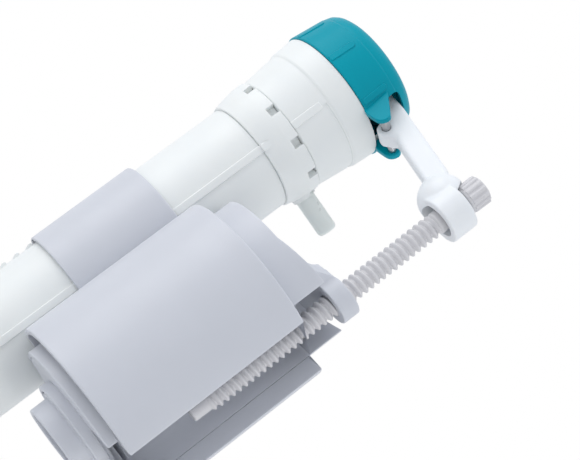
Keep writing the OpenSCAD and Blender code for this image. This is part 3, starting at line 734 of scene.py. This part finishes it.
tooth_way = turned(block((14, -2.9, shell_low.z - 2), (17.15, 2.9, shell_high.z + 2)), TOOTH_ANGLE)
shell = fused(shell, "DIFFERENCE", [hollow])
shell = fused(shell, "DIFFERENCE", [core_room])
shell = fused(shell, "DIFFERENCE", [bore, rail_way, tooth_way])
piece("outer_shell", shell, float_grey, "float", "float_shell")

core_top = core_low.z + 65.8
core_plan = float_plan(CORE_R, 0, SHELL_WALL + SEAM)
core = softened(float_solid(core_plan, core_low.z, core_top + CORE_CREST + 0.2), 0.5, 30)
slope = prism([(5, core_top), (44.5, core_top), (57.5, core_top + CORE_CREST), (70, core_top + CORE_CREST),
               (70, core_top + 9), (5, core_top + 9)], 60)
core = fused(core, "DIFFERENCE", [shifted(slope, 0, -30, 0)])
lug_foot = core_high.z - LUG_HEIGHT
bridge = prism([(39, core_top - 1), (46, core_top - 1), (50, lug_foot + 0.1), (rod_x, lug_foot + 0.1),
                (rod_x, core_high.z - 0.1), (47.5, core_high.z - 0.8), (40.5, core_top)], 11.6)
bridge = softened(shifted(bridge, 0, -5.8, 0), 0.35)
flanks = hull_of([block((40.5, -11, core_top - 1), (45.5, 11, core_top + 0.3)),
                  block((50.5, -5.7, lug_foot + 0.2), (53.5, 5.7, core_high.z - 0.5))])
lug = lathe([(0, lug_foot), (5.9, lug_foot, 0.4), (5.9, core_high.z, 0.5), (0, core_high.z)], 96)
core = fused(fused(core, "UNION", [flanks]), "UNION", [bridge])
core = fused(core, "UNION", [shifted(lug, rod_x, 0, 0)])
core_hollow_plan = float_plan(CORE_R - CORE_WALL, CORE_WALL, SHELL_WALL + CORE_WALL)
core_hollow = float_solid(core_hollow_plan, core_low.z - 1, core_top - CORE_WALL)
rod_way = rod_between((rod_x, 0, 100), (rod_x, 0, core_high.z + 1), 3.42, steps=64)
mouth = rod_between((rod_x, 0, core_high.z - 0.5), (rod_x, 0, core_high.z + 0.3), 3.3, 4.1, steps=64)
core = fused(core, "DIFFERENCE", [core_hollow])
core = fused(fused(core, "DIFFERENCE", [rod_way]), "DIFFERENCE", [mouth])
piece("inner_float", core, float_grey, "float", "float_core")

plug_plan = float_plan(CORE_R - CORE_WALL - SEAM, CORE_WALL + SEAM, SHELL_WALL + CORE_WALL + SEAM)
plug = softened(float_solid(plug_plan, core_low.z, core_low.z + 2), 0.3, 30)
BOSS_STEP_Z = 78.4
bosses = lathe([(0, core_low.z + 0.5), (9, core_low.z + 0.5), (9, plug_low.z, 0.4), (10.4, plug_low.z, 0.5),
                (10.4, BOSS_STEP_Z, 0.3), (11.8, BOSS_STEP_Z, 0.3), (11.8, core_low.z + 0.5),
                (12.4, core_low.z + 0.5), (12.4, BOSS_STEP_Z, 0.3), (13.8, BOSS_STEP_Z, 0.5),
                (13.8, core_low.z + 1), (0, core_low.z + 1)])
channel = rod_between((CHANNEL_X, 0, plug_low.z - 2), (CHANNEL_X, 0, core_low.z + 3),
                      CHANNEL_HALF + CORE_WALL + SEAM)
plug = fused(fused(plug, "DIFFERENCE", [channel]), "UNION", [shifted(bosses, SHELL_X, 0, 0)])
piece("float_plug", plug, float_grey, "float", "float_bottom_cap")


# ---- Floor, light and camera ----
# A plain pale floor under the nut, three soft boxes in a white room, and a long lens that
# looks up at the float from its front right with the riser tipped over to the right.

FLOOR_SIZE = 4
bm = bmesh.new()
bmesh.ops.create_grid(bm, x_segments=1, y_segments=1, size=FLOOR_SIZE / 2)
floor = as_object(bm, "floor")
floor.location.z = shank_low.z * MM
floor.data.materials.append(moulded("studio_floor", (0.80, 0.80, 0.80), (0.78, 0.78, 0.78), 0.6, 0.0, 0.0))

sight = Vector((17.45, 14.86, 161.8)) * MM
SIGHT_ANGLE = math.radians(37.3)
SIGHT_RISE = math.radians(13.45)
back = Vector((math.sin(SIGHT_ANGLE) * math.cos(SIGHT_RISE),
               -math.cos(SIGHT_ANGLE) * math.cos(SIGHT_RISE), -math.sin(SIGHT_RISE)))
DISTANCE = 0.4963
ROLL = 52.85
lens = bpy.data.cameras.new("camera")
lens.lens_unit = "FOV"
lens.angle = math.radians(18.55)
lens.clip_start = 0.01
camera = bpy.data.objects.new("camera", lens)
bpy.context.scene.collection.objects.link(camera)
facing = (-back).to_track_quat("-Z", "Y") @ Quaternion((0, 0, 1), math.radians(ROLL))
camera.location = sight + back * DISTANCE
camera.rotation_mode = "QUATERNION"
camera.rotation_quaternion = facing
bpy.context.scene.camera = camera


def soft_light(name, toward, distance, size, power, tint=(1, 1, 1)):
    """A square soft box aimed at the middle of the view."""
    lamp = bpy.data.lights.new(name, "AREA")
    lamp.shape = "SQUARE"
    lamp.size = size
    lamp.energy = power
    lamp.color = tint
    obj = bpy.data.objects.new(name, lamp)
    bpy.context.scene.collection.objects.link(obj)
    obj.location = sight + Vector(toward).normalized() * distance
    obj.rotation_mode = "QUATERNION"
    obj.rotation_quaternion = (-Vector(toward)).to_track_quat("-Z", "Y")
    return obj


across = Vector((math.cos(SIGHT_ANGLE), math.sin(SIGHT_ANGLE), 0))
soft_light("key", -across + 0.3 * back + Vector((0, 0, 0.4)), 0.8, 0.6, 2.2)
soft_light("fill", 1.1 * across + 0.25 * back - Vector((0, 0, 0.4)), 0.8, 0.7, 2.8, (1, 1, 0.95))
soft_light("top", Vector((0, 0, 1)) - 0.3 * across + 0.2 * back, 0.9, 0.6, 0.6)

world = bpy.data.worlds.new("studio")
world.use_nodes = True
bpy.context.scene.world = world
tree = world.node_tree
room = tree.nodes["Background"]
room.inputs["Color"].default_value = (0.93, 0.95, 1, 1)
room.inputs["Strength"].default_value = 0.86
white = tree.nodes.new("ShaderNodeBackground")
white.inputs["Color"].default_value = (1, 1, 1, 1)
white.inputs["Strength"].default_value = 1.0
path = tree.nodes.new("ShaderNodeLightPath")
choice = tree.nodes.new("ShaderNodeMixShader")
tree.links.new(path.outputs["Is Camera Ray"], choice.inputs["Fac"])
tree.links.new(room.outputs["Background"], choice.inputs[1])
tree.links.new(white.outputs["Background"], choice.inputs[2])
tree.links.new(choice.outputs["Shader"], tree.nodes["World Output"].inputs["Surface"])
bpy.context.scene.view_settings.view_transform = "Standard"
